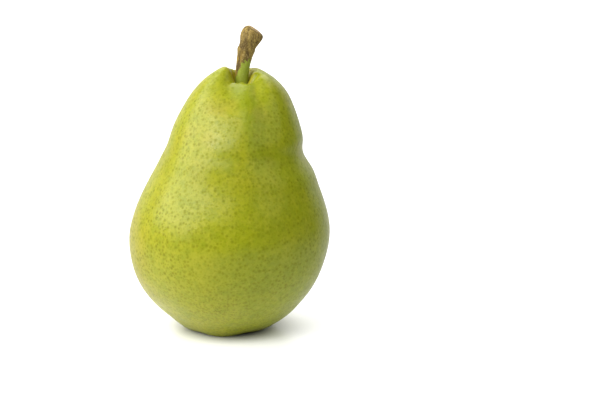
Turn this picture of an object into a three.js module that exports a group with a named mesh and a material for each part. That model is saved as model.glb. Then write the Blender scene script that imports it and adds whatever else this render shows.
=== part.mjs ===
// A whole pear standing upright: the fruit, its woody stem, and the dried calyx in the basin underneath.
// Units are millimetres and +Z is up. The front of the fruit, where its furrow shows, faces -Y.
// Angles are in degrees round the fruit's axis: 0 is +X, 90 is the back, 180 is the left side.
import * as THREE from "three";

// Driving dimensions of the fruit
const FRUIT_SEGMENTS = 50; // round the axis
const RING_STEP = 1.6; // least distance between two rings
const LEAN = 5.6; // sideways drift of the axis at the shoulders
const LEAN_POWER = 1.6;
const CREST_HEIGHT = 89.2; // of the rim round the stem
const CREST_RADIUS = 5.4;
const WAIST_HEIGHT = 61;
const FURROW_LIP_ANGLE = -47; // where the furrow leaves the rim
const FURROW_SIDE_ANGLE = -58; // where it fades away on the neck
const FURROW_DEPTH = 1.0;
const LOBE_COUNT = 5;
const LOBE_ANGLE = -97; // the lobe that touches down at the front
const LOBE_LIFT = 0.9; // height of the hollows between the lobes underneath
const LOBE_SWELL = 0.012; // share of the radius
const SOCKET_RADIUS = 2.5;
const SOCKET_TOP = 82.8;
const SOCKET_FLOOR = 80;

// Driving dimensions of the stem and the calyx
const GAP = 0.3; // between pieces that touch in the real fruit
const STEM_SEGMENTS = 24;
const STEM_BASE_X = 5.5;
const STEM_CUT_SLOPE = 0.6; // rise over run of the cut end, which falls to the right
const SEPAL_COUNT = 5;
const SEPAL_LENGTH = 4.8;
const SEPAL_WIDTH = 2.3;
const SEPAL_THICKNESS = 0.4;
const SEPAL_HEIGHT = 4.4; // of the end that springs from the calyx
const CALYX_RADIUS = 1.7;
const BASIN_HEIGHT = 5.6;
const TUFT_RADIUS = 1.1;
const TUFT_TIP_HEIGHT = 2.5;

// Outline of the fruit, [radius, height], from the middle of the basin out and up to the stem socket.
const FRUIT_OUTLINE = [
  [0, BASIN_HEIGHT], [2.6, 5.5], [5.1, 4.1], [7.4, 1.9], [9.4, 0.3], [11.2, -0.3],
  [13.6, -0.3], [15.8, 1.2], [19.5, 4.5], [24.2, 8.8], [28.6, 14.2], [31.8, 20.6],
  [33.6, 27.4], [34.0, 33.6], [32.8, 40], [30.6, 46], [27.8, 52], [25.0, 57.2],
  [23.6, 61.2], [22.7, 65.4], [21.1, 70], [19.1, 74.8], [16.8, 79.4], [14.2, 83.2],
  [11.6, 85.9], [9.0, 87.8], [7.0, 88.9], [CREST_RADIUS, CREST_HEIGHT], [4.1, 88.2], [3.3, 86],
  [2.95, 84.5], [2.7, 83.2], [SOCKET_RADIUS, SOCKET_TOP],
];

// Outline of the stem, [radius, height]: root, narrow green neck, node, and the flared cut end.
const STEM_OUTLINE = [
  [0, SOCKET_FLOOR + GAP], [1.7, SOCKET_FLOOR + GAP], [2.15, 80.9], [2.18, 85], [2.35, 88.3],
  [2.75, 91.4], [3.05, 94.2], [3.0, 94.9], [2.75, 95.5], [2.85, 96.4], [3.3, 97.7],
  [3.65, 99.2], [3.55, 100.4], [3.1, 101.2], [2.4, 101.4], [0, 101.2],
];

// Sideways offset of the stem's centre line from its base, [height, offset].
const STEM_CURVE = [
  [80, 0], [85, 0], [88.3, 0.25], [91.4, 0.8], [94.2, 1.55], [96.4, 2.25], [99.2, 3.3], [101.4, 4.2],
];

// Outline of the tuft of dried stamens, [radius, height].
const TUFT_OUTLINE = [
  [0, TUFT_TIP_HEIGHT + 0.1], [0.7, TUFT_TIP_HEIGHT], [TUFT_RADIUS, 3.1], [0.8 * TUFT_RADIUS, 4.2],
  [TUFT_RADIUS, BASIN_HEIGHT - 0.1 - GAP], [0, BASIN_HEIGHT - 0.1 - GAP],
];

const { smoothstep, clamp, lerp, mapLinear, degToRad, radToDeg, euclideanModulo } = THREE.MathUtils;

// A swelling of height 1 that fades away to both sides of an angle.
function bump(angle, centre, width) {
  const turn = euclideanModulo(angle - centre + 180, 360) - 180;
  return Math.exp(-((turn / width) ** 2));
}

function bell(value, centre, width) {
  return Math.exp(-(((value - centre) / width) ** 2));
}

function wave(angle, count, start) {
  return Math.cos(degToRad(count * (angle - start)));
}

function points(outline) {
  return outline.map(([radius, height]) => new THREE.Vector2(radius, height));
}

// Rounds the fruit's outline, adds the socket and leaves out rings that come too close together.
function fruitOutline() {
  const curve = new THREE.CatmullRomCurve3(
    FRUIT_OUTLINE.map(([radius, height]) => new THREE.Vector3(radius, height, 0)),
    false,
    "centripetal",
  );
  const kept = [];
  for (const p of curve.getPoints(2 * (FRUIT_OUTLINE.length - 1))) {
    const point = new THREE.Vector2(p.x, p.y);
    if (!kept.length || kept.at(-1).distanceTo(point) > RING_STEP) kept.push(point);
  }
  kept.push(new THREE.Vector2(SOCKET_RADIUS, SOCKET_TOP - 0.3));
  kept.push(new THREE.Vector2(SOCKET_RADIUS, SOCKET_FLOOR));
  kept.push(new THREE.Vector2(0, SOCKET_FLOOR));
  return kept;
}

// Stands a lathe on +Z and moves each vertex to where shape(radius, height, angle) puts it.
function turned(outline, segments, shape) {
  const geometry = new THREE.LatheGeometry(outline, segments).rotateX(Math.PI / 2);
  const position = geometry.getAttribute("position");
  for (let i = 0; i < position.count; i++) {
    const x = position.getX(i);
    const y = position.getY(i);
    const moved = shape(Math.hypot(x, y), position.getZ(i), radToDeg(Math.atan2(y, x)));
    position.setXYZ(i, moved.x, moved.y, moved.z);
  }
  geometry.computeVertexNormals();
  return geometry;
}

function axisShift(height) {
  return LEAN * (height / 90) ** LEAN_POWER;
}

// How far the rim round the stem drops below its crest at the front, at the furrow, and elsewhere.
function rimDrop(angle) {
  return {
    front: 4.9 * bump(angle, -100, 44),
    furrow: 3.5 * bump(angle, FURROW_LIP_ANGLE, 25),
    others: 1.1 * bump(angle, 0, 45) + 2.0 * bump(angle, 100, 50),
  };
}

// A shallow groove that runs from the lip down the front of the neck.
function furrowGroove(radius, height, angle) {
  const down = smoothstep(radius, 5, 15);
  const centre = lerp(FURROW_LIP_ANGLE, FURROW_SIDE_ANGLE, down);
  return bump(angle, centre, lerp(24, 13, down)) * smoothstep(height, 52, 74) * smoothstep(radius, 4, 8);
}

// The waist is a soft crease at the sides, deepest at the right, with a slight swelling under it.
function waistSwell(height, angle) {
  const middle = WAIST_HEIGHT - 2 * wave(angle, 1, 0);
  const sides = 0.55 * bump(angle, 0, 55) + 0.2 * bump(angle, 180, 50);
  const front = bump(angle, -100, 50);
  const crease = (0.3 * (1 - front) + sides) * bell(height, middle + 1.5, 3.8);
  const swelling = (0.25 + 0.4 * sides) * bell(height, middle - 5, 3.6);
  return swelling - crease + front * bell(height, middle - 2, 4.7);
}

function fruitShape(radius, height, angle) {
  const inside = height > SOCKET_FLOOR - 1 && radius < CREST_RADIUS;
  const toCrest = clamp((height - SOCKET_TOP) / (CREST_HEIGHT - SOCKET_TOP), 0, 1);
  const lobes = wave(angle, LOBE_COUNT, LOBE_ANGLE);
  const groove = furrowGroove(radius, height, angle);
  const { front, furrow, others } = rimDrop(angle);
  const tighter = 0.8 * bump(angle, -85, 50);

  let r = radius * (1 + LOBE_SWELL * lobes * (1 - smoothstep(height, 6, 42)));
  r += waistSwell(height, angle);
  r += 0.9 * bump(angle, -5, 45) * bell(height, 5, 4) * smoothstep(radius, 12, 17);
  let z = height;
  if (inside) {
    r -= tighter * toCrest;
    z -= (front + furrow + others) * toCrest + 3.2 * bump(angle, 175, 60) * toCrest * (1 - toCrest);
  } else {
    r -= tighter * smoothstep(height, 64, 87) + FURROW_DEPTH * groove;
    z -= front * smoothstep(height, 60, 87) + others * smoothstep(height, 78, CREST_HEIGHT);
    z -= furrow * (1 - smoothstep(radius, CREST_RADIUS, 9.5)) * smoothstep(height, 60, 80);
    z -= groove * smoothstep(height, 77, 88);
    if (height < WAIST_HEIGHT / 2) {
      const ring = bell(radius, 12, 4) * smoothstep(radius, 4, 9);
      z += ((LOBE_LIFT / 2) * (1 - lobes) + 0.8 * bump(angle, -20, 40)) * ring;
    }
  }
  z = Math.max(z, 0);

  const shift = lerp(axisShift(z), STEM_BASE_X, inside ? 1 - toCrest : 0);
  const turn = degToRad(angle);
  return new THREE.Vector3(r * Math.cos(turn) + shift, r * Math.sin(turn), z);
}

function stemOffset(height) {
  const next = Math.max(1, STEM_CURVE.findIndex(([z]) => z > height));
  const [z0, x0] = STEM_CURVE[next - 1];
  const [z1, x1] = STEM_CURVE[next];
  return mapLinear(height, z0, z1, x0, x1);
}

function stemShape(radius, height, angle) {
  const across = radius * Math.cos(degToRad(angle));
  const slope = STEM_CUT_SLOPE * smoothstep(height, 95.5, 101);
  return new THREE.Vector3(
    STEM_BASE_X + stemOffset(height) + across,
    radius * Math.sin(degToRad(angle)),
    height - slope * across,
  );
}

// The tuft is a plain lathe, so its points stay where they are.
function tuftShape(radius, height, angle) {
  return new THREE.Vector3(radius * Math.cos(degToRad(angle)), radius * Math.sin(degToRad(angle)), height);
}

// One dried sepal: a pointed blade that springs from the calyx and curls down along the basin wall.
function sepalGeometry() {
  const root = 0.4 * SEPAL_WIDTH;
  const belly = 0.6 * SEPAL_WIDTH;
  const outline = new THREE.Shape();
  outline.moveTo(0, -root);
  outline.quadraticCurveTo(0.55 * SEPAL_LENGTH, -belly, SEPAL_LENGTH, 0);
  outline.quadraticCurveTo(0.55 * SEPAL_LENGTH, belly, 0, root);
  outline.closePath();
  const blade = new THREE.ExtrudeGeometry(outline, {
    depth: SEPAL_THICKNESS,
    bevelEnabled: false,
    curveSegments: 6,
  });
  const position = blade.getAttribute("position");
  for (let i = 0; i < position.count; i++) {
    const along = position.getX(i) / SEPAL_LENGTH;
    const lift = position.getZ(i);
    const bend = 0.15 + 0.95 * along;
    const out = SEPAL_LENGTH * (0.86 * along - 0.14 * along ** 2);
    const drop = SEPAL_LENGTH * 0.55 * along ** 2;
    position.setX(i, CALYX_RADIUS + out + lift * Math.sin(bend));
    position.setZ(i, SEPAL_HEIGHT - drop + lift * Math.cos(bend));
  }
  blade.computeVertexNormals();
  return blade;
}

function piece(name, geometry, material) {
  const mesh = new THREE.Mesh(geometry, material);
  mesh.name = name;
  return mesh;
}

const skin = new THREE.MeshStandardMaterial({ color: "#a7a83a", roughness: 0.42, metalness: 0 });
const bark = new THREE.MeshStandardMaterial({ color: "#8b733d", roughness: 0.8, metalness: 0 });
const dried = new THREE.MeshStandardMaterial({ color: "#4a3522", roughness: 0.9, metalness: 0 });

const pear = new THREE.Group();
pear.name = "pear";

pear.add(piece("fruit", turned(fruitOutline(), FRUIT_SEGMENTS, fruitShape), skin));
pear.add(piece("stem", turned(points(STEM_OUTLINE), STEM_SEGMENTS, stemShape), bark));

for (let i = 0; i < SEPAL_COUNT; i++) {
  const sepal = piece(`sepal_${i + 1}`, sepalGeometry(), dried);
  sepal.rotation.z = degToRad(LOBE_ANGLE + ((i + 0.5) * 360) / SEPAL_COUNT);
  pear.add(sepal);
}
pear.add(piece("stamen_tuft", turned(points(TUFT_OUTLINE), 12, tuftShape), dried));

// The part's origin is the middle of the underside of its bounding box.
const box = new THREE.Box3().setFromObject(pear, true);
const middle = box.getCenter(new THREE.Vector3());
pear.position.set(-middle.x, -middle.y, -box.min.z);

export default pear;
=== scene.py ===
"""Pear: the finished look of a whole pear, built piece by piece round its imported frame."""

import math

import bmesh
import bpy
from bpy.props import FloatProperty, FloatVectorProperty, IntProperty, PointerProperty
from mathutils import Matrix, Vector, geometry, noise


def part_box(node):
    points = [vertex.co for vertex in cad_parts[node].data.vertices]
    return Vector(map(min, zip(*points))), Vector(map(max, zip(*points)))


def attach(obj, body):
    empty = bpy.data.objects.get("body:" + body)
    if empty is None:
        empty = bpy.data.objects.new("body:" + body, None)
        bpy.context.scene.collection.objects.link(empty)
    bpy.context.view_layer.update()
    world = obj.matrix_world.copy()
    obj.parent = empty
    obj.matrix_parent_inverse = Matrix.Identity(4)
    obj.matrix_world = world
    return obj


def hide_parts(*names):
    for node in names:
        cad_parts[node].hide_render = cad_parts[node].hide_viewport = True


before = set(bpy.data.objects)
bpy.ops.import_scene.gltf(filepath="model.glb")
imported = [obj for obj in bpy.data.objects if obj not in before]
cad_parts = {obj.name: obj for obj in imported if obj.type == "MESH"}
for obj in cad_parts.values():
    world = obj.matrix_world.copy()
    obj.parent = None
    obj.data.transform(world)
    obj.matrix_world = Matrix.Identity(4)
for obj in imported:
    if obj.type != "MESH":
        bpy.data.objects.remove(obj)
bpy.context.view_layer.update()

bl_info = {
    "name": "Pear",
    "version": (1, 0, 0),
    "blender": (4, 5, 0),
    "location": "View3D > Sidebar > Pear",
    "description": "Builds a whole pear with its stem, its dried calyx and a small studio",
    "category": "Object",
}

BODY = "root"
MM = 0.001

# The calyx sits on the fruit's own axis, where the axis meets the floor. All shapes below are in millimetres
# from that point, +Z up, with the front of the fruit towards -Y.
TUFT_LOW, TUFT_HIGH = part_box("stamen_tuft")
AXIS = Vector(((TUFT_LOW.x + TUFT_HIGH.x) / 2, (TUFT_LOW.y + TUFT_HIGH.y) / 2, 0))

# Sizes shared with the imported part, in millimetres and degrees. Angles run from +X, so the front is at -90.
LEAN = 5.6
LEAN_HEIGHT = 90  # where the middle of the fruit has moved sideways by LEAN
LEAN_POWER = 1.6
CREST_HEIGHT = 89.2
CREST_RADIUS = 5.4
SHOULDER_RADIUS = 11
NECK_LOW, NECK_HIGH = 60, 87
NECK_TUCK = 0.8  # how much closer to the stem the front of the neck stands
WAIST_HEIGHT = 61
FRONT_ANGLE = -100
FRONT_DROP = 4.9
RIGHT_DROP = 1.1
BACK_DROP = 2.0
LIP_DROP = 4.8
HOLLOW_SAG = 3.2  # how far the left wall of the hollow round the stem sags
FURROW_LIP_ANGLE = -47
FURROW_SIDE_ANGLE = -58
# The furrow's band is partly the skin's deeper green, partly painted shade of the furrow.
FURROW_GREEN_AND_SHADE_ANGLE = -72
FURROW_GREEN_AND_SHADE_SHIFT = 2.9  # how far beside the axis the furrow's band of deeper green and painted shade runs
FURROW_DROP = 3.5
FURROW_DEPTH = 1.0
LOBE_COUNT = 5
LOBE_ANGLE = -97
LOBE_LIFT = 0.9
LOBE_SWELL = 0.012
BASE_SWELL = 0.9
BASE_LIFT = 0.8
SKIN_SHRINK = 0.9975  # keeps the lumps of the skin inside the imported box
SOCKET_RADIUS = 2.5
SOCKET_TOP = 82.8
SOCKET_FLOOR = 80
STEM_BASE_X = 5.5
STEM_SWAY = 3.2  # how far the middle of the stem moves to the right between its foot and its cut end
SEPAL_COUNT = 5
SEPAL_FOOT_RADIUS = 1.7
SEPAL_FOOT_HEIGHT = 4.55
SEPAL_THICKNESS = 0.22
STAMEN_RING = 0.95
STAMEN_HEIGHT = 5.3
STAMEN_RADIUS = 0.09
GOLDEN_ANGLE = 2.39996  # in radians: spreads the stamens evenly

# Outline of the fruit, (radius, height), from the middle of the basin out and up to the stem socket
FRUIT_OUTLINE = (
    (0, 5.6), (2.6, 5.5), (5.1, 4.1), (7.4, 1.9), (9.4, 0.3), (11.2, -0.3),
    (13.6, -0.3), (15.8, 1.2), (19.5, 4.5), (24.2, 8.8), (28.6, 14.2), (31.8, 20.6),
    (33.6, 27.4), (34.0, 33.6), (32.8, 40), (30.6, 46), (27.8, 52), (25.0, 57.2),
    (23.6, 61.2), (22.7, 65.4), (21.1, 70), (19.1, 74.8), (16.8, 79.4), (14.2, 83.2),
    (11.6, 85.9), (9.0, 87.8), (7.0, 88.9), (CREST_RADIUS, CREST_HEIGHT), (4.1, 88.2), (3.3, 86),
    (2.95, 84.5), (2.7, 83.2), (SOCKET_RADIUS, SOCKET_TOP),
)

# Rings of the stem: (sideways place of the middle, its height, tilt in degrees, half width, half depth)
STEM_RINGS = (
    (5.5, 80.3, 0, 1.7, 1.7), (5.5, 80.9, 0, 2.15, 2.15), (5.45, 83.0, 0, 2.2, 2.15), (5.45, 85.2, 0, 2.2, 2.15),
    (5.6, 87.0, 2, 2.25, 2.2), (5.9, 89.2, 5, 2.32, 2.3), (6.35, 91.6, 8, 2.5, 2.45), (6.85, 93.6, 10, 2.7, 2.6),
    (7.15, 94.6, 11, 2.85, 2.75), (7.35, 95.2, 12, 2.85, 2.75), (7.55, 95.8, 12, 2.8, 2.75),
    (7.85, 96.6, 12, 2.95, 2.85), (8.2, 97.6, 13, 3.3, 3.1), (8.6, 98.7, 15, 3.6, 3.3), (9.0, 99.7, 19, 3.7, 3.4),
    (9.35, 100.4, 24, 3.62, 3.35), (9.6, 100.9, 28, 3.4, 3.2), (9.8, 101.2, 31, 3.1, 3.0),
    (9.95, 101.4, 33, 2.7, 2.7), (10.05, 101.5, 34, 2.2, 2.2), (10.1, 101.6, 34, 1.3, 1.3), (10.15, 101.65, 34, 0, 0),
)
STEM_CUT_RING = 18  # the first ring that lies on the cut face

# Stage, in metres: each light with its place, the point it faces and its width and height
LIGHT_AIM = (0, 0, 0.05)
STUDIO_LIGHTS = (
    ("key_light", (-1.22, -0.31, 0.93), LIGHT_AIM, 1.8, 1.25),
    ("front_light", (-0.42, -0.80, 1.14), LIGHT_AIM, 0.95, 0.55),
    ("right_light", (1.0, -0.6, 1.1), LIGHT_AIM, 1.2, 1.0),
    ("top_light", (-0.1, 0.75, 1.4), (0, 0.1, 0), 1.8, 1.0),
)
FLOOR_HALF_WIDTH = 4
FLOOR_GAP = 0.02 * MM
# Painted glow of the far floor, which only the view sees
FAR_PAINTED_FLOOR_GLOW = 0.6
VIEW_AIM = Vector((0.02485, 0.0089, 0.04196))  # beside the pear, which stands left of the middle of the view
VIEW_LENS = 100
VIEW_SENSOR = 36
VIEW_CLIP = 0.01


def smoothstep(value, low, high):
    share = min(max((value - low) / (high - low), 0), 1)
    return share * share * (3 - 2 * share)


def mix(a, b, share):
    return a + (b - a) * share


def bump(angle, centre, width):
    """A swelling of height 1 that fades away to both sides of an angle."""
    turn = (angle - centre + 180) % 360 - 180
    return math.exp(-((turn / width) ** 2))


def bell(value, centre, width):
    """The same for a height or a radius."""
    return math.exp(-(((value - centre) / width) ** 2))


def wave(angle, count, start):
    """Count even waves round the axis, with a top at start."""
    return math.cos(math.radians(count * (angle - start)))


def rounded(outline, per_span):
    """Points of a smooth curve through an outline of (radius, height) pairs."""
    knots = [Vector((radius, 0, height)) for radius, height in outline]
    before = [knots[max(i - 1, 0)] for i in range(len(knots))]
    after = [knots[min(i + 1, len(knots) - 1)] for i in range(len(knots))]
    points = [knots[0]]
    for i in range(len(knots) - 1):
        span = (knots[i + 1] - knots[i]).length
        leave = (after[i] - before[i]).normalized() * span / 3
        arrive = (after[i + 1] - before[i + 1]).normalized() * span / 3
        points += geometry.interpolate_bezier(
            knots[i], knots[i] + leave, knots[i + 1] - arrive, knots[i + 1], per_span + 1
        )[1:]
    return [(max(p.x, 0), p.z) for p in points]


def spun(outline, steps):
    """A closed bmesh: an outline of (radius, height) pairs, spun once round Z."""
    bm = bmesh.new()
    line = [bm.verts.new((radius, 0, height)) for radius, height in outline]
    edges = [bm.edges.new(pair) for pair in zip(line, line[1:])]
    bmesh.ops.spin(
        bm,
        geom=line + edges,
        cent=(0, 0, 0),
        axis=(0, 0, 1),
        dvec=(0, 0, 0),
        angle=math.tau,
        steps=steps,
        use_merge=True,
        use_normal_flip=False,
        use_duplicate=False,
    )
    bmesh.ops.remove_doubles(bm, verts=bm.verts, dist=0.0001)
    bmesh.ops.recalc_face_normals(bm, faces=bm.faces)
    return bm


def finished_piece(name, bm, material, nodes, subdivisions):
    """Turns a bmesh in millimetres into a piece that stands for its CAD nodes."""
    bmesh.ops.scale(bm, vec=(MM, MM, MM), verts=bm.verts)
    bmesh.ops.translate(bm, vec=AXIS, verts=bm.verts)
    mesh = bpy.data.meshes.new(name)
    bm.to_mesh(mesh)
    bm.free()
    mesh.polygons.foreach_set("use_smooth", [True] * len(mesh.polygons))
    mesh.materials.append(material)
    piece = bpy.data.objects.new(name, mesh)
    bpy.context.scene.collection.objects.link(piece)
    if subdivisions:
        rounding = piece.modifiers.new("rounding", "SUBSURF")
        rounding.levels = subdivisions
        rounding.render_levels = subdivisions
    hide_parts(*nodes)
    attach(piece, BODY)
    return piece


# Shape of the fruit


def axis_shift(height):
    """How far the middle of the leaning fruit lies to the right at a height."""
    return LEAN * (max(height, 0) / LEAN_HEIGHT) ** LEAN_POWER


def rim_drop(radius, angle):
    """How far the top drops below the crest's height: at the front, at the furrow, and at the right and back."""
    lip = LIP_DROP * smoothstep(angle, -158, -115) * (1 - smoothstep(angle, FRONT_ANGLE, -20))
    shoulder = FRONT_DROP * bump(angle, FRONT_ANGLE, 44)
    front = mix(lip, shoulder, smoothstep(radius, CREST_RADIUS, SHOULDER_RADIUS))
    furrow = FURROW_DROP * bump(angle, FURROW_LIP_ANGLE, 25)
    others = RIGHT_DROP * bump(angle, 0, 45) + BACK_DROP * bump(angle, 100, 50)
    return front, furrow, others


def furrow_groove(radius, height, angle):
    """How much of a shallow groove is here: it runs from the lip down the front of the neck and narrows."""
    outwards = smoothstep(radius, 5, 15)
    centre = mix(FURROW_LIP_ANGLE, FURROW_SIDE_ANGLE, outwards)
    width = mix(24, 13, outwards)
    return bump(angle, centre, width) * smoothstep(height, 52, 74) * smoothstep(radius, 4, 8)


def waist_swell(height, angle):
    """The waist is a soft crease with a slight swelling under it, deepest at the right and filled at the front."""
    middle = WAIST_HEIGHT - 2 * wave(angle, 1, 0)
    sides = 0.55 * bump(angle, 0, 55) + 0.2 * bump(angle, 180, 50)
    front = bump(angle, FRONT_ANGLE, 50)
    crease = (0.3 * (1 - front) + sides) * bell(height, middle + 1.5, 3.8)
    swelling = (0.25 + 0.4 * sides) * bell(height, middle - 5, 3.6)
    filling = 1.0 * front * bell(height, middle - 2, 4.7)
    return swelling - crease + filling


def fruit_point(radius, height, angle):
    """The place on the fruit for a point of its spun outline."""
    inside = height > SOCKET_FLOOR - 1 and radius < CREST_RADIUS
    to_crest = min(max((height - SOCKET_TOP) / (CREST_HEIGHT - SOCKET_TOP), 0), 1)
    lobes = wave(angle, LOBE_COUNT, LOBE_ANGLE)
    groove = furrow_groove(radius, height, angle)
    front, furrow, others = rim_drop(radius, angle)
    tuck = NECK_TUCK * bump(angle, -85, 50)
    r = radius * (SKIN_SHRINK + LOBE_SWELL * lobes * (1 - smoothstep(height, 6, 42))) + waist_swell(height, angle)
    r += BASE_SWELL * bump(angle, -5, 45) * bell(height, 5, 4) * smoothstep(radius, 12, 17)
    if inside:
        sag = HOLLOW_SAG * bump(angle, 175, 60)
        r -= tuck * to_crest
        z = height - (front + furrow + others) * to_crest - sag * to_crest * (1 - to_crest)
    else:
        r -= tuck * smoothstep(height, 64, NECK_HIGH) + FURROW_DEPTH * groove
        z = height - front * smoothstep(height, NECK_LOW, NECK_HIGH) - others * smoothstep(height, 78, CREST_HEIGHT)
        z -= furrow * (1 - smoothstep(radius, CREST_RADIUS, 9.5)) * smoothstep(height, NECK_LOW, 80)
        z -= groove * smoothstep(height, 77, 88)
        if height < WAIST_HEIGHT / 2:
            foot_ring = bell(radius, 12, 4) * smoothstep(radius, 4, 9)
            z += (LOBE_LIFT / 2 * (1 - lobes) + BASE_LIFT * bump(angle, -20, 40)) * foot_ring
    z = max(z, 0)
    shift = mix(axis_shift(z), STEM_BASE_X, 1 - to_crest if inside else 0)
    turn = math.radians(angle)
    return Vector((r * math.cos(turn) + shift, r * math.sin(turn), z))


def basin_pucker(radius, height, angle):
    """Small folds that run from the calyx up the wall of the basin."""
    if height > 8:
        return 0
    share = smoothstep(radius, 1.5, 3.5) * (1 - smoothstep(radius, 6, 11))
    return share * (0.28 * wave(angle, 10, 12) + 0.16 * wave(angle, 23, 40))


def cavity_pucker(radius, height, angle):
    """Fine folds that run down into the hollow round the stem."""
    if height < SOCKET_TOP:
        return 0
    share = smoothstep(radius, 2.4, 3.4) * (1 - smoothstep(radius, 4.5, 8))
    return share * (0.07 * wave(angle, 7, 25) + 0.05 * wave(angle, 17, 3))


def skin_relief(place, lump_height):
    """Soft lumps of the flesh under the skin at three sizes, in millimetres."""
    broad = noise.noise(place / 17 + Vector((3.1, 0.4, 7.7)))
    middle = noise.noise(place / 7.5 + Vector((11.3, 5.2, 1.9)))
    fine = noise.noise(place / 3.2 + Vector((0.7, 9.1, 4.4)))
    return lump_height * (broad + 0.42 * middle + 0.13 * fine)


def fruit_mesh(lump_height):
    """The fruit: its outline spun round, bent to shape, then folded and lumped, except in the socket."""
    edge = 0.3
    outline = rounded(FRUIT_OUTLINE, 4)
    outline += [(SOCKET_RADIUS, SOCKET_TOP - edge), (SOCKET_RADIUS, SOCKET_FLOOR + edge)]
    outline += [(SOCKET_RADIUS - edge, SOCKET_FLOOR), (0, SOCKET_FLOOR)]
    bm = spun(outline, 160)
    folds = {}
    for v in bm.verts:
        radius, height = math.hypot(v.co.x, v.co.y), v.co.z
        angle = math.degrees(math.atan2(v.co.y, v.co.x))
        folds[v] = basin_pucker(radius, height, angle) + cavity_pucker(radius, height, angle)
        v.co = fruit_point(radius, height, angle)
        if radius <= SOCKET_RADIUS and height > SOCKET_FLOOR - 1:
            folds[v] = None  # the socket stays plain
    bm.normal_update()
    for v in bm.verts:
        if folds[v] is None:
            continue
        v.co += v.normal * (folds[v] + skin_relief(v.co, lump_height))
        v.co.z = max(v.co.z, 0)
    return bm


# Shape of the stem


def stem_station(rings, place):
    """The ring at a place between whole rings, on a smooth curve through them."""
    i = min(int(place), len(rings) - 2)
    t = place - i
    before, start, end, after = (rings[min(max(i + k, 0), len(rings) - 1)] for k in (-1, 0, 1, 2))
    return [
        0.5 * (2 * b + (c - a) * t + (2 * a - 5 * b + 4 * c - d) * t ** 2 + (3 * b - a - 3 * c + d) * t ** 3)
        for a, b, c, d in zip(before, start, end, after)
    ]


def bark_relief(angle, height, ridge_height):
    """Long ridges and cracks of the bark, stronger towards the cut end."""
    turn = math.radians(angle)
    around = Vector((math.cos(turn), math.sin(turn), 0))
    ridges = noise.noise(around * 2.6 + Vector((0, 0, height * 0.16)))
    cracks = abs(noise.noise(around * 5.5 + Vector((4.2, 1.3, height * 0.3))))
    knots = noise.noise(around * 1.3 + Vector((7.7, 2.1, height * 0.55)))
    share = mix(0.18, 1, smoothstep(height, 87, 96))
    return ridge_height * share * (ridges + 0.7 * knots - 0.9 * cracks + 0.2)


def stem_point(place, angle, inward, ridge_height):
    """The point of the stem at a place along its rings; inward runs from 0 in the middle to 1 at the bark."""
    x, z, tilt, width, depth = stem_station(STEM_RINGS, place)
    cut = smoothstep(place, STEM_CUT_RING - 1, STEM_CUT_RING + 0.5)
    relief = bark_relief(angle, z, ridge_height) * (1 - cut) * smoothstep(z, 83, 86)
    ledge = 0.2 * bump(angle, 165, 75) * smoothstep(z, 92.5, 94.9) * (1 - smoothstep(z, 95.1, 95.5))
    swell = relief + ledge
    turn = math.radians(angle)
    across = (width + swell) * math.cos(turn) * inward
    slope = math.radians(tilt)
    fibre = 0.16 * noise.noise(Vector((across * 1.7, math.sin(turn) * width * 1.7, 3.3))) * cut
    return Vector((
        x + across * math.cos(slope) + fibre * math.sin(slope),
        (depth + swell) * math.sin(turn) * inward,
        z - across * math.sin(slope) + fibre * math.cos(slope),
    ))


def stem_mesh(ridge_height):
    """The stem: a spun outline whose height counts the rings, moved ring by ring to the bent stem."""
    last = len(STEM_RINGS) - 1
    per_ring = 4
    places = [i / per_ring for i in range(per_ring * (last - 1) + 1)]
    outline = [(0, 0), (0.5, 0)] + [(1, place) for place in places] + [(0.5, last - 0.5), (0, last)]
    bm = spun(outline, 64)
    cut = bm.verts.layers.float.new("cut")
    for v in bm.verts:
        inward, place = math.hypot(v.co.x, v.co.y), v.co.z
        angle = math.degrees(math.atan2(v.co.y, v.co.x))
        at_end = place > last - 1
        v[cut] = smoothstep(place, STEM_CUT_RING - 0.9, STEM_CUT_RING)
        v.co = stem_point(last - 1 if at_end else place, angle, inward, ridge_height)
    return bm


# Shape of the calyx


def blade_mesh(length, width, thickness, curl, twist, seed):
    """One dried sepal that springs from the calyx ring, thin at the edges and curled at the tip."""
    bm = bmesh.new()
    bmesh.ops.create_grid(bm, x_segments=10, y_segments=6, size=0.5)
    for v in bm.verts:
        along, across = v.co.x + 0.5, v.co.y * 2
        half = width / 2 * (1 - 0.25 * (1 - along) ** 2) * (1 - along ** 1.9) ** 0.9
        half = max(half, 0.05)
        crumple = noise.noise(Vector((along * 5, across * 2.5, seed))) * 0.22
        out = length * (0.86 * along - 0.14 * along ** 2)
        drop = length * 0.5 * along ** 2 - curl * length * max(along - 0.6, 0) ** 2
        keel = 0.25 * across ** 2 * half
        side = across * half
        lean = twist * along * side
        v.co = Vector((SEPAL_FOOT_RADIUS + out, side, SEPAL_FOOT_HEIGHT - drop - keel + crumple * along + lean))
    bmesh.ops.solidify(bm, geom=bm.faces[:], thickness=thickness)
    bmesh.ops.recalc_face_normals(bm, faces=bm.faces)
    return bm


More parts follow.
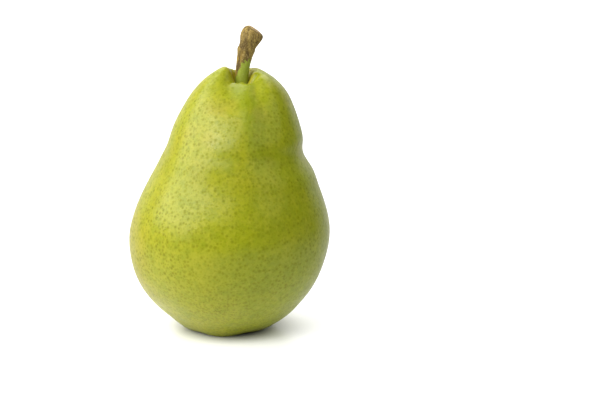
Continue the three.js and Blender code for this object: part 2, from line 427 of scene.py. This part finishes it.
def filament(bm, foot, bend, length, thickness, seed):
    """One dried stamen: a thin bent thread with a small shrivelled head."""
    made = bmesh.ops.create_circle(bm, cap_ends=True, segments=6, radius=thickness)
    ring = [e for e in bm.edges if e.is_boundary and all(v in made["verts"] for v in e.verts)]
    bmesh.ops.translate(bm, vec=foot, verts=made["verts"])
    steps = 9
    for i in range(1, steps + 1):
        share = i / steps
        grown = bmesh.ops.extrude_edge_only(bm, edges=ring)["geom"]
        verts = [g for g in grown if isinstance(g, bmesh.types.BMVert)]
        ring = [g for g in grown if isinstance(g, bmesh.types.BMEdge) and all(v in verts for v in g.verts)]
        wiggle = 0.18 * noise.noise(Vector((share * 2.5, seed, 0.5)))
        middle = foot + Vector((bend.x * share ** 2 + wiggle, bend.y * share ** 2 - wiggle, -length * share))
        head = 2.1 if share > 0.85 else 1
        swell = thickness * head * (0.5 if i == steps else 1)
        for k, v in enumerate(verts):
            turn = math.tau * k / len(verts)
            v.co = middle + Vector((math.cos(turn), math.sin(turn), 0)) * swell
    bmesh.ops.contextual_create(bm, geom=ring)


# Finishes


class Finish:
    """A material under construction, with short names for the nodes that the finishes share."""

    def __init__(self, name):
        self.material = bpy.data.materials.new(name)
        self.material.use_nodes = True
        self.tree = self.material.node_tree
        self.tree.nodes.clear()
        self.output = self.tree.nodes.new("ShaderNodeOutputMaterial")
        self.shader = self.tree.nodes.new("ShaderNodeBsdfPrincipled")
        self.join(self.shader.outputs["BSDF"], self.output.inputs["Surface"])
        place = self.tree.nodes.new("ShaderNodeTexCoord")
        self.millimetres = self.mapped(place.outputs["Object"], (1 / MM,) * 3)

    def join(self, source, socket):
        self.tree.links.new(source, socket)

    def feed(self, socket, value):
        if isinstance(value, bpy.types.NodeSocket):
            self.join(value, socket)
        elif hasattr(value, "__len__") and len(value) == 3 and socket.type == "RGBA":
            socket.default_value = (*value, 1)
        else:
            socket.default_value = value

    def mapped(self, vector, scale, shift=(0, 0, 0)):
        node = self.tree.nodes.new("ShaderNodeMapping")
        self.join(vector, node.inputs["Vector"])
        node.inputs["Scale"].default_value = scale
        node.inputs["Location"].default_value = shift
        return node.outputs["Vector"]

    def maths(self, operation, a, b=0.0, c=0.0, clamp=False):
        node = self.tree.nodes.new("ShaderNodeMath")
        node.operation = operation
        node.use_clamp = clamp
        for socket, value in zip(node.inputs, (a, b, c)):
            self.feed(socket, value)
        return node.outputs["Value"]

    def along(self, direction, vector=None):
        """Distance along a direction, in millimetres."""
        node = self.tree.nodes.new("ShaderNodeVectorMath")
        node.operation = "DOT_PRODUCT"
        self.join(vector or self.millimetres, node.inputs[0])
        node.inputs[1].default_value = direction
        return node.outputs["Value"]

    def upright_distance(self, x, y, middle_x=0.0, middle_y=0.0):
        """Distance from an upright line, in millimetres."""
        squares = [
            self.maths("POWER", self.maths("SUBTRACT", x, middle_x), 2.0),
            self.maths("POWER", self.maths("SUBTRACT", y, middle_y), 2.0),
        ]
        return self.maths("SQRT", self.maths("ADD", *squares))

    def span(self, value, low, high, out_low=0.0, out_high=1.0):
        """A smooth rise from out_low to out_high while value goes from low to high."""
        node = self.tree.nodes.new("ShaderNodeMapRange")
        node.interpolation_type = "SMOOTHSTEP"
        numbers = {"Value": value, "From Min": low, "From Max": high, "To Min": out_low, "To Max": out_high}
        for name, number in numbers.items():
            self.feed(node.inputs[name], number)
        return node.outputs["Result"]

    def noise(self, size, detail=2.0, roughness=0.5, stretch=(1, 1, 1), shift=(0, 0, 0), distortion=0.0):
        """Noise whose features are about size millimetres, from 0 to 1."""
        node = self.tree.nodes.new("ShaderNodeTexNoise")
        vector = self.mapped(self.millimetres, stretch, shift)
        self.join(vector, node.inputs["Vector"])
        node.inputs["Scale"].default_value = 1 / size
        node.inputs["Detail"].default_value = detail
        node.inputs["Roughness"].default_value = roughness
        node.inputs["Distortion"].default_value = distortion
        return node.outputs["Fac"]

    def cells(self, size, wobble, shift=(0, 0, 0)):
        """Distance to the nearest point of a random scatter, in cell sizes, and that point's random colour."""
        node = self.tree.nodes.new("ShaderNodeTexVoronoi")
        vector = self.mapped(self.millimetres, (1, 1, 1), shift)
        if wobble:
            jitter = self.tree.nodes.new("ShaderNodeTexNoise")
            jitter.inputs["Scale"].default_value = 1.6
            self.join(vector, jitter.inputs["Vector"])
            push = self.tree.nodes.new("ShaderNodeVectorMath")
            push.operation = "MULTIPLY_ADD"
            self.join(jitter.outputs["Color"], push.inputs[0])
            push.inputs[1].default_value = (wobble,) * 3
            self.join(vector, push.inputs[2])
            vector = push.outputs["Vector"]
        self.join(vector, node.inputs["Vector"])
        node.inputs["Scale"].default_value = 1 / size
        node.inputs["Randomness"].default_value = 0.85
        return node.outputs["Distance"], node.outputs["Color"]

    def blend(self, share, a, b, mode="MIX"):
        node = self.tree.nodes.new("ShaderNodeMix")
        node.data_type = "RGBA"
        node.blend_type = mode
        self.feed(node.inputs[0], share)
        self.feed(node.inputs[6], a)
        self.feed(node.inputs[7], b)
        return node.outputs[2]

    def channel(self, colour, index):
        node = self.tree.nodes.new("ShaderNodeSeparateColor")
        self.join(colour, node.inputs[0])
        return node.outputs[index]

    def attribute(self, name):
        node = self.tree.nodes.new("ShaderNodeAttribute")
        node.attribute_name = name
        return node.outputs["Fac"]

    def relief(self, height, distance, strength=1.0, normal=None):
        node = self.tree.nodes.new("ShaderNodeBump")
        node.inputs["Strength"].default_value = strength
        node.inputs["Distance"].default_value = distance
        self.join(height, node.inputs["Height"])
        if normal is not None:
            self.join(normal, node.inputs["Normal"])
        return node.outputs["Normal"]

    def set(self, **sockets):
        for name, value in sockets.items():
            self.feed(self.shader.inputs[name.replace("_", " ")], value)


def lenticels(finish, size, reach, wobble, shift, least):
    """Soft dots: 1 in the middle of a dot, 0 between them. The share least of the dots is left out."""
    distance, colour = finish.cells(size, wobble, shift)
    random = finish.channel(colour, 0)
    radius = finish.maths("MULTIPLY_ADD", random, 0.5 * reach / size, 0.6 * reach / size)
    dot = finish.maths("SUBTRACT", 1.0, finish.maths("DIVIDE", distance, radius), clamp=True)
    dot = finish.span(dot, 0.0, 0.95)
    kept = finish.span(finish.channel(colour, 1), least, least + 0.15)
    return finish.maths("MULTIPLY", dot, kept)


def skin_finish(settings):
    """Waxy skin: mottled green and yellow with lenticels, a green furrow and russet in the basin; the greener right
    side and the furrow's green are partly painted shade.
    """
    f = Finish("pear_skin")
    x, y, z = (f.along(direction) for direction in ((1, 0, 0), (0, 1, 0), (0, 0, 1)))
    centre_x, centre_y = AXIS.x / MM, AXIS.y / MM
    turn = math.radians(FURROW_GREEN_AND_SHADE_ANGLE)
    beside = f.along((-math.sin(turn), math.cos(turn), 0))
    beside = f.maths("ABSOLUTE", f.maths("SUBTRACT", beside, FURROW_GREEN_AND_SHADE_SHIFT))
    front = f.along((math.cos(turn), math.sin(turn), 0))

    # Ground colour: yellow towards the left and the top, green towards the right and in the furrow. The greener right
    # side is partly the skin's own colour, partly painted shade; so is the green band down the furrow.
    cloud = f.noise(26, detail=3, roughness=0.55)
    # Painted shade, in part: the skin turns greener and darker towards the right.
    right_green_and_painted_shade = f.maths("MULTIPLY_ADD", x, 0.011, 0.44)
    green = f.maths("ADD", right_green_and_painted_shade, f.maths("MULTIPLY_ADD", cloud, 0.9, -0.45))
    # Green band down the furrow: partly the skin's deeper green, partly painted shade of the furrow.
    furrow = f.maths("MULTIPLY", f.span(beside, 0.5, 5, 1, 0), f.span(front, 2, 8))
    furrow = f.maths("MULTIPLY", furrow, f.span(z, 54, 72))
    green = f.maths("ADD", green, f.maths("MULTIPLY", furrow, 0.5))
    ground = f.blend(f.span(green, 0.1, 0.95), settings.yellow, settings.green)
    ground = f.blend(f.maths("MULTIPLY", furrow, 0.8), ground, settings.deep_green)

    # Blotches, long faint streaks and a fine mottle
    blotch = f.noise(7.5, detail=3, roughness=0.6, shift=(40, 13, 5))
    ground = f.blend(f.span(blotch, 0.42, 0.72, 0, 0.4), ground, settings.deep_green)
    patches = f.noise(3.4, detail=3, roughness=0.6, shift=(15, 4, 22))
    ground = f.blend(f.span(patches, 0.48, 0.68, 0, 0.5), ground, settings.deep_green)
    streak = f.noise(5, detail=3, roughness=0.6, stretch=(1, 1, 0.22), shift=(7, 3, 0))
    ground = f.blend(f.span(streak, 0.5, 0.8, 0, 0.3), ground, settings.pale)
    mottle = f.noise(1.3, detail=3, roughness=0.65)
    ground = f.blend(f.span(mottle, 0.5, 0.7, 0, 0.36), ground, settings.pale)
    ground = f.blend(f.span(mottle, 0.5, 0.3, 0, 0.6), ground, settings.deep_green)

    # Warm patches near the shoulders and round the stem
    warm = f.noise(11, detail=2, shift=(3, 21, 9))
    warm = f.maths("MULTIPLY", f.span(warm, 0.45, 0.7), f.span(z, 40, 84))
    ground = f.blend(f.maths("MULTIPLY", warm, 0.5), ground, settings.ochre)

    # An orange cast on the far left
    cast = f.maths("MULTIPLY", f.span(x, -16, -32), f.span(f.noise(16, detail=2, shift=(8, 1, 30)), 0.35, 0.6))
    ground = f.blend(f.maths("MULTIPLY", cast, 0.45), ground, settings.ochre)

    # The walls of the hollow round the stem turn yellow
    from_stem = f.upright_distance(x, y, centre_x + STEM_BASE_X, centre_y)
    hollow = f.maths("MULTIPLY", f.span(from_stem, 5.5, 3.5), f.span(z, 80, 82))
    ground = f.blend(f.maths("MULTIPLY", hollow, 0.7), ground, settings.ochre)

    # Lenticels: larger soft ones, smaller ones between them, denser and browner underneath
    low = f.span(z, 34, 6)
    large = lenticels(f, size=1.4, reach=0.92, wobble=0.4, shift=(0, 0, 0), least=0.0)
    large = f.maths("MULTIPLY", large, f.maths("MULTIPLY_ADD", low, -0.4, 1.0))
    small = lenticels(f, size=1.0, reach=0.6, wobble=0.3, shift=(31, 17, 5), least=0.05)
    dense = lenticels(f, size=0.85, reach=0.42, wobble=0.2, shift=(5, 41, 23), least=0.1)
    dense = f.maths("MULTIPLY", dense, f.maths("MULTIPLY_ADD", low, 0.75, 0.12))
    dots = f.maths("MAXIMUM", large, f.maths("MAXIMUM", f.maths("MULTIPLY", small, 0.7), dense))
    brown = f.maths("MAXIMUM", f.maths("MULTIPLY", low, 0.6), f.span(x, 5, -25, 0, 0.2))
    dot_colour = f.blend(brown, settings.lenticel, settings.russet)
    strength = f.span(f.noise(14, shift=(2, 2, 9)), 0.3, 0.7, 0.5, 0.76)
    strength = f.maths("MULTIPLY", strength, f.span(z, 92, 60, 0.8, 1))
    skin = f.blend(f.maths("MULTIPLY", dots, strength), ground, dot_colour)

    # Russet in the basin and a little in the hollow round the stem
    from_axis = f.upright_distance(x, y, centre_x, centre_y)
    basin = f.maths("MULTIPLY", f.span(from_axis, 9.5, 3.0), f.span(z, 9, 5))
    basin = f.maths("MULTIPLY", basin, f.span(f.noise(2.2, detail=4, roughness=0.7), 0.3, 0.6, 0.5, 1))
    skin = f.blend(basin, skin, settings.russet)

    gloss = f.noise(3.0, detail=3)
    rough = f.span(gloss, 0.3, 0.7, settings.roughness - 0.04, settings.roughness + 0.05)
    rough = f.maths("MULTIPLY_ADD", dots, 0.05, rough)
    grain = f.noise(0.35, detail=3, roughness=0.6)
    height = f.maths("MULTIPLY_ADD", dots, 0.5, f.maths("MULTIPLY", grain, 0.35))
    orange_peel = f.noise(1.6, detail=2)
    height = f.maths("ADD", height, f.maths("MULTIPLY", orange_peel, 0.8))
    f.set(
        Base_Color=skin,
        Roughness=rough,
        Normal=f.relief(height, 0.00006, 0.7),
        IOR=1.43,
        Specular_IOR_Level=f.maths("MULTIPLY_ADD", dots, -0.25, 0.5),
        Subsurface_Weight=0.12,
        Subsurface_Radius=(1.0, 0.8, 0.2),
        Subsurface_Scale=0.0012,
    )
    return f.material


def stem_finish(settings):
    """Speckled bark over a green neck, and pale wood on the cut end."""
    f = Finish("pear_stem_bark")
    x, y, z = (f.along(direction) for direction in ((1, 0, 0), (0, 1, 0), (0, 0, 1)))
    foot_x, foot_y = AXIS.x / MM + STEM_BASE_X, AXIS.y / MM
    streak = f.noise(1.0, detail=4, roughness=0.65, stretch=(1, 1, 0.22), shift=(3, 1, 0))
    fleck = f.noise(0.42, detail=3, roughness=0.75, stretch=(1, 1, 0.6))
    grain = f.noise(0.2, detail=2, roughness=0.7, stretch=(1, 1, 0.7), shift=(5, 2, 8))
    patch = f.noise(2.2, detail=2, stretch=(1, 1, 0.5), shift=(9, 9, 0))
    bark = f.blend(f.span(streak, 0.36, 0.62), settings.bark_dark, settings.bark)
    bark = f.blend(f.span(fleck, 0.5, 0.68, 0, 0.75), bark, settings.bark_pale)
    bark = f.blend(f.span(patch, 0.48, 0.7, 0, 0.5), bark, settings.bark_dark)
    bark = f.blend(f.span(grain, 0.52, 0.38, 0, 0.8), bark, settings.bark_dark)

    # A strip of warm bark runs down the left of the neck; the front and the right of the neck stay green
    middle = f.span(z, 84, 104, foot_x, foot_x + STEM_SWAY)
    across = f.maths("SUBTRACT", x, middle)
    facing = f.maths("MULTIPLY_ADD", across, 0.9, f.maths("MULTIPLY", f.maths("SUBTRACT", y, foot_y), -0.42))
    ragged = f.maths("MULTIPLY_ADD", f.noise(0.8, detail=4, roughness=0.7, stretch=(1, 1, 0.3)), 8.0, -4.0)
    warm = f.blend(f.span(streak, 0.4, 0.6), settings.orange, settings.bark_dark)
    warm = f.blend(f.span(fleck, 0.5, 0.75, 0, 0.4), warm, settings.bark_pale)
    warmth = f.maths("MULTIPLY", f.span(z, 95.5, 92.5), f.span(f.maths("MULTIPLY_ADD", ragged, 0.5, facing), 0.4, -0.4))
    bark = f.blend(warmth, bark, warm)
    green = f.blend(f.span(fleck, 0.4, 0.7, 0, 0.4), settings.green, settings.pale_green)
    rings = f.noise(0.35, detail=2, stretch=(0.25, 0.25, 1))
    green = f.blend(f.span(rings, 0.55, 0.72, 0, 0.5), green, settings.pale_green)
    reach = f.span(facing, -1.7, 1.2, 85.8, 91.4)
    over = f.maths("SUBTRACT", f.maths("MULTIPLY_ADD", ragged, 1.0, z), reach)
    colour = f.blend(f.span(over, 0.5, -0.5), bark, green)

    # The cut end: pale wood inside a dark rim
    cut = f.attribute("cut")
    fibre = f.noise(0.5, detail=3)
    wood = f.blend(f.span(fibre, 0.35, 0.65), settings.cut_wood, settings.bark)
    colour = f.blend(cut, colour, wood)
    rim = f.maths("MULTIPLY", f.span(cut, 0.02, 0.3), f.span(cut, 0.98, 0.6))
    colour = f.blend(rim, colour, settings.bark_dark)

    height = f.maths("MULTIPLY_ADD", streak, 1.0, f.maths("MULTIPLY", fleck, 0.6))
    rough_bark = f.span(z, 88, 95, 0.25, 1.0)
    height = f.maths("MULTIPLY", height, rough_bark)
    dry = f.span(z, 88, 93, 0.5, 0.85)
    f.set(Base_Color=colour, Roughness=dry, Normal=f.relief(height, 0.0004, 1.0), IOR=1.4)
    return f.material


def calyx_finish(name, settings):
    """Dry, dark and veined, paler where it is worn."""
    f = Finish(name)
    vein = f.noise(0.35, detail=4, roughness=0.7)
    patch = f.noise(1.4, detail=2)
    colour = f.blend(f.span(vein, 0.35, 0.7), settings.dry_dark, settings.dry_brown)
    colour = f.blend(f.span(patch, 0.5, 0.8, 0, 0.6), colour, settings.dry_pale)
    f.set(Base_Color=colour, Roughness=0.85, Normal=f.relief(vein, 0.00015, 0.8), IOR=1.4)
    return f.material


def floor_finish(colour, bounce, glow):
    """Glossy white acrylic that glows though it is no lamp: painted light, which fades to nothing under the pear as a
    painted shadow.

    Near the pear its glow also lights the pear. Further away only the view sees the glow, which grows with the
    distance so that the floor stays white to the horizon, and the floor throws back less light than it shows.
    """
    f = Finish("studio_floor")
    x, y = (f.along(direction) for direction in ((1, 0, 0), (0, 1, 0)))
    away = f.upright_distance(x, y)
    seen = f.tree.nodes.new("ShaderNodeLightPath").outputs["Is Camera Ray"]
    # Painted light: near the pear the glow lights the floor and the pear; further out it shows only to the view.
    near_painted_glow = f.span(away, 30, 75, glow, 0)
    far_painted_glow = f.maths("ADD", f.span(away, 30, 75, 0, glow), f.span(away, 300, 1200, 0, FAR_PAINTED_FLOOR_GLOW))
    painted_glow_total = f.maths("ADD", f.maths("MULTIPLY", seen, far_painted_glow), near_painted_glow)
    # The glow fades to nothing within 11 mm of the axis: a painted shadow under the pear.
    f.set(
        Base_Color=f.blend(seen, bounce, colour),
        Roughness=0.22,
        IOR=1.45,
        Emission_Color=(1, 1, 1),
        Emission_Strength=f.maths("MULTIPLY", f.span(away, 11, 30), painted_glow_total),
    )
    return f.material


# Settings a user would change


def colour_setting(name, description, default):
    return FloatVectorProperty(name=name, description=description, default=default, subtype="COLOR", min=0, max=1)


def power_setting(name, description, default):
    return FloatProperty(name=name, description=description, default=default, min=0, unit="POWER")


class PearFruitSettings(bpy.types.PropertyGroup):
    green: colour_setting("Green", "Ground colour of the shaded side", (0.325, 0.375, 0.004))
    yellow: colour_setting("Yellow", "Ground colour of the sunny side", (0.41, 0.405, 0.012))
    deep_green: colour_setting("Deep green", "Blotches", (0.26, 0.31, 0.003))
    pale: colour_setting("Pale", "Faint streaks and mottle", (0.50, 0.485, 0.035))
    ochre: colour_setting("Ochre", "Warm patches on the shoulders", (0.44, 0.36, 0.02))
    lenticel: colour_setting("Lenticels", "Dots on the skin", (0.185, 0.205, 0.002))
    russet: colour_setting("Russet", "Corky skin in the basin", (0.17, 0.10, 0.03))
    roughness: FloatProperty(name="Roughness", description="Roughness of the waxy skin", default=0.32, min=0, max=1)
    lump_height: FloatProperty(
        name="Lumps", description="Height of the soft lumps", default=0.2 * MM, min=0, max=1 * MM, unit="LENGTH"
    )


class PearStemSettings(bpy.types.PropertyGroup):
    bark: colour_setting("Bark", "Main colour of the bark", (0.50, 0.35, 0.09))
    bark_dark: colour_setting("Dark bark", "Furrows of the bark", (0.12, 0.075, 0.018))
    bark_pale: colour_setting("Pale bark", "Flecks on the bark", (0.52, 0.40, 0.15))
    orange: colour_setting("Orange", "Warm side of the neck", (0.40, 0.26, 0.045))
    green: colour_setting("Green", "Fresh neck of the stem", (0.33, 0.41, 0.03))
    pale_green: colour_setting("Pale green", "Flecks on the neck", (0.47, 0.52, 0.12))
    cut_wood: colour_setting("Cut wood", "Face of the cut end", (0.36, 0.25, 0.15))
    ridge_height: FloatProperty(
        name="Ridges", description="Height of the bark's ridges", default=0.22 * MM, min=0, max=1 * MM, unit="LENGTH"
    )


class PearCalyxSettings(bpy.types.PropertyGroup):
    dry_brown: colour_setting("Brown", "Main colour of the dried calyx", (0.085, 0.045, 0.02))
    dry_dark: colour_setting("Dark", "Veins and folds", (0.022, 0.012, 0.006))
    dry_pale: colour_setting("Pale", "Worn edges", (0.22, 0.14, 0.07))
    sepal_length: FloatProperty(
        name="Sepal length", description="Length of a sepal", default=4.8 * MM, min=1 * MM, max=8 * MM, unit="LENGTH"
    )
    sepal_width: FloatProperty(
        name="Sepal width", description="Width of a sepal", default=2.4 * MM, min=0.5 * MM, max=4 * MM, unit="LENGTH"
    )
    stamens: IntProperty(name="Stamens", description="Number of dried stamens", default=18, min=0, max=30)


class PearStageSettings(bpy.types.PropertyGroup):
    floor: colour_setting("Floor", "Colour of the floor", (0.86, 0.86, 0.86))
    floor_bounce: colour_setting("Floor bounce", "Light thrown back by the floor", (0.68, 0.68, 0.68))
    # Painted light: the floor glows though it is no lamp, and the glow lights the pear near it.
    painted_floor_glow: FloatProperty(name="Floor glow", description="Light that comes through the floor", default=0.44, min=0)
    key_light: power_setting("Key light", "Large soft light at the left", 27.0)
    front_light: power_setting("Front light", "Soft light high at the front left", 8.8)
    right_light: power_setting("Right light", "Weak soft light high at the right", 3.4)
    top_light: power_setting("Top light", "Large soft light overhead", 17.0)
    fill: FloatProperty(name="Fill", description="Strength of the surroundings in front", default=0.1, min=0)
    backdrop: FloatProperty(name="Backdrop", description="Strength of the white backdrop", default=0.9, min=0)
    elevation: FloatProperty(
        name="Elevation", description="Height of the view above the horizon", default=math.radians(12), subtype="ANGLE"
    )
    distance: FloatProperty(name="Distance", description="From the view to the pear", default=0.572, unit="LENGTH")


# Operators


class PEAR_OT_fruit(bpy.types.Operator):
    """Build the fruit: one solid body of flesh with its lobes, waist, furrow, basin and spotted skin"""

    bl_idname = "pear.fruit"
    bl_label = "Fruit"

    def execute(self, context):
        settings = context.scene.pear_fruit
        bm = fruit_mesh(settings.lump_height / MM)
        finished_piece("pear_fruit", bm, skin_finish(settings), ["fruit"], 1)
        return {"FINISHED"}


class PEAR_OT_stem(bpy.types.Operator):
    """Build the stem: green neck, ridged bark, a node and an oblique cut end"""

    bl_idname = "pear.stem"
    bl_label = "Stem"

    def execute(self, context):
        settings = context.scene.pear_stem
        bm = stem_mesh(settings.ridge_height / MM)
        finished_piece("pear_stem", bm, stem_finish(settings), ["stem"], 1)
        return {"FINISHED"}


class PEAR_OT_sepals(bpy.types.Operator):
    """Build the five dried sepals in the basin underneath"""

    bl_idname = "pear.sepals"
    bl_label = "Sepals"

    def execute(self, context):
        settings = context.scene.pear_calyx
        finish = calyx_finish("pear_dried_sepals", settings)
        for i in range(SEPAL_COUNT):
            length = settings.sepal_length / MM * (0.92 + 0.05 * (i * 2 % 5) / 2)
            curl = 0.5 + 0.35 * noise.noise(Vector((i * 1.7, 0.3, 8.8)))
            twist = 0.5 * noise.noise(Vector((i * 2.9, 5.5, 1.2)))
            bm = blade_mesh(length, settings.sepal_width / MM, SEPAL_THICKNESS, curl, twist, i * 3.7)
            angle = math.radians(LOBE_ANGLE + (i + 0.5) * 360 / SEPAL_COUNT)
            bmesh.ops.rotate(bm, cent=(0, 0, 0), matrix=Matrix.Rotation(angle, 3, "Z"), verts=bm.verts)
            finished_piece(f"pear_sepal_{i + 1}", bm, finish, [f"sepal_{i + 1}"], 2)
        return {"FINISHED"}


class PEAR_OT_stamens(bpy.types.Operator):
    """Build the tuft of dried stamens in the middle of the calyx"""

    bl_idname = "pear.stamens"
    bl_label = "Stamens"

    def execute(self, context):
        settings = context.scene.pear_calyx
        bm = bmesh.new()
        for i in range(settings.stamens):
            angle = i * GOLDEN_ANGLE
            radius = STAMEN_RING * math.sqrt((i + 0.5) / settings.stamens)
            outward = Vector((math.cos(angle), math.sin(angle), 0))
            bend = outward * (0.15 + 0.35 * noise.noise(Vector((i * 1.3, 2.2, 0.1))))
            length = 2.2 + 0.5 * noise.noise(Vector((i * 0.9, 7.1, 3.3)))
            foot = outward * radius + Vector((0, 0, STAMEN_HEIGHT))
            filament(bm, foot, bend, length, STAMEN_RADIUS, i * 1.9)
        bmesh.ops.recalc_face_normals(bm, faces=bm.faces)
        finish = calyx_finish("pear_dried_stamens", settings)
        finished_piece("pear_stamens", bm, finish, ["stamen_tuft"], 1)
        return {"FINISHED"}


def soft_light(name, place, aim, width, height, power):
    data = bpy.data.lights.new(name, "AREA")
    data.shape = "RECTANGLE"
    data.size = width
    data.size_y = height
    data.energy = power
    light = bpy.data.objects.new(name, data)
    light.location = place
    light.rotation_euler = (Vector(aim) - Vector(place)).to_track_quat("-Z", "Y").to_euler()
    bpy.context.scene.collection.objects.link(light)


def surroundings(front, back):
    """White behind the pear, dim in front of it and dimmer still in its gloss, and plain white to the view."""
    world = bpy.data.worlds.new("studio_surroundings")
    bpy.context.scene.world = world
    world.use_nodes = True
    nodes, links = world.node_tree.nodes, world.node_tree.links
    nodes.clear()
    direction = nodes.new("ShaderNodeTexCoord")
    split = nodes.new("ShaderNodeSeparateXYZ")
    links.new(direction.outputs["Generated"], split.inputs[0])
    path = nodes.new("ShaderNodeLightPath")
    strength = None
    rays = (("Is Diffuse Ray", front, back), ("Is Glossy Ray", front / 4, back), ("Is Camera Ray", 1, 1))
    for ray, ahead, behind in rays:
        ramp = nodes.new("ShaderNodeMapRange")
        ramp.interpolation_type = "SMOOTHSTEP"
        for name, value in (("From Min", 0.4), ("From Max", 0.8), ("To Min", ahead), ("To Max", behind)):
            ramp.inputs[name].default_value = value
        links.new(split.outputs["Y"], ramp.inputs["Value"])
        share = nodes.new("ShaderNodeMath")
        share.operation = "MULTIPLY_ADD"
        links.new(path.outputs[ray], share.inputs[0])
        links.new(ramp.outputs["Result"], share.inputs[1])
        if strength is None:
            share.inputs[2].default_value = 0
        else:
            links.new(strength, share.inputs[2])
        strength = share.outputs["Value"]
    background = nodes.new("ShaderNodeBackground")
    background.inputs["Color"].default_value = (1, 1, 1, 1)
    links.new(strength, background.inputs["Strength"])
    output = nodes.new("ShaderNodeOutputWorld")
    links.new(background.outputs["Background"], output.inputs["Surface"])


class PEAR_OT_stage(bpy.types.Operator):
    """Build the stage: a pale floor, soft studio lights and the camera"""

    bl_idname = "pear.stage"
    bl_label = "Stage"

    def execute(self, context):
        settings = context.scene.pear_stage
        scene = context.scene
        scene.view_settings.view_transform = "Standard"

        bm = bmesh.new()
        bmesh.ops.create_grid(bm, x_segments=1, y_segments=1, size=FLOOR_HALF_WIDTH)
        bmesh.ops.translate(bm, vec=(0, 0, -FLOOR_GAP), verts=bm.verts)
        mesh = bpy.data.meshes.new("studio_floor")
        bm.to_mesh(mesh)
        bm.free()
        mesh.materials.append(floor_finish(settings.floor, settings.floor_bounce, settings.painted_floor_glow))
        floor = bpy.data.objects.new("studio_floor", mesh)
        scene.collection.objects.link(floor)

        for name, place, light_aim, width, height in STUDIO_LIGHTS:
            soft_light(name, place, light_aim, width, height, getattr(settings, name))
        surroundings(settings.fill, settings.backdrop)

        camera_data = bpy.data.cameras.new("view")
        camera_data.lens = VIEW_LENS
        camera_data.sensor_width = VIEW_SENSOR
        camera_data.clip_start = VIEW_CLIP
        camera = bpy.data.objects.new("view", camera_data)
        aim = AXIS + VIEW_AIM
        up = settings.elevation
        back = Vector((0, -math.cos(up), math.sin(up)))
        camera.location = aim + back * settings.distance
        camera.rotation_euler = (-back).to_track_quat("-Z", "Y").to_euler()
        scene.collection.objects.link(camera)
        scene.camera = camera
        return {"FINISHED"}


class PEAR_PT_sidebar(bpy.types.Panel):
    """Sidebar panel that lists the pear's pieces and their settings"""

    bl_idname = "PEAR_PT_sidebar"
    bl_label = "Pear"
    bl_space_type = "VIEW_3D"
    bl_region_type = "UI"
    bl_category = "Pear"

    def draw(self, context):
        scene = context.scene
        groups = (
            (scene.pear_fruit, ("pear.fruit",)),
            (scene.pear_stem, ("pear.stem",)),
            (scene.pear_calyx, ("pear.sepals", "pear.stamens")),
            (scene.pear_stage, ("pear.stage",)),
        )
        for settings, operators in groups:
            box = self.layout.box()
            for name in settings.bl_rna.properties.keys():
                if name not in ("rna_type", "name"):
                    box.prop(settings, name)
            for operator in operators:
                box.operator(operator)


CLASSES = (
    PearFruitSettings,
    PearStemSettings,
    PearCalyxSettings,
    PearStageSettings,
    PEAR_OT_fruit,
    PEAR_OT_stem,
    PEAR_OT_sepals,
    PEAR_OT_stamens,
    PEAR_OT_stage,
    PEAR_PT_sidebar,
)


def register():
    for cls in CLASSES:
        bpy.utils.register_class(cls)
    bpy.types.Scene.pear_fruit = PointerProperty(type=PearFruitSettings)
    bpy.types.Scene.pear_stem = PointerProperty(type=PearStemSettings)
    bpy.types.Scene.pear_calyx = PointerProperty(type=PearCalyxSettings)
    bpy.types.Scene.pear_stage = PointerProperty(type=PearStageSettings)


def unregister():
    del bpy.types.Scene.pear_stage
    del bpy.types.Scene.pear_calyx
    del bpy.types.Scene.pear_stem
    del bpy.types.Scene.pear_fruit
    for cls in reversed(CLASSES):
        bpy.utils.unregister_class(cls)


def main():
    register()
    bpy.ops.pear.stage()
    bpy.ops.pear.fruit()
    bpy.ops.pear.stem()
    bpy.ops.pear.sepals()
    bpy.ops.pear.stamens()


if __name__ == "__main__":
    main()
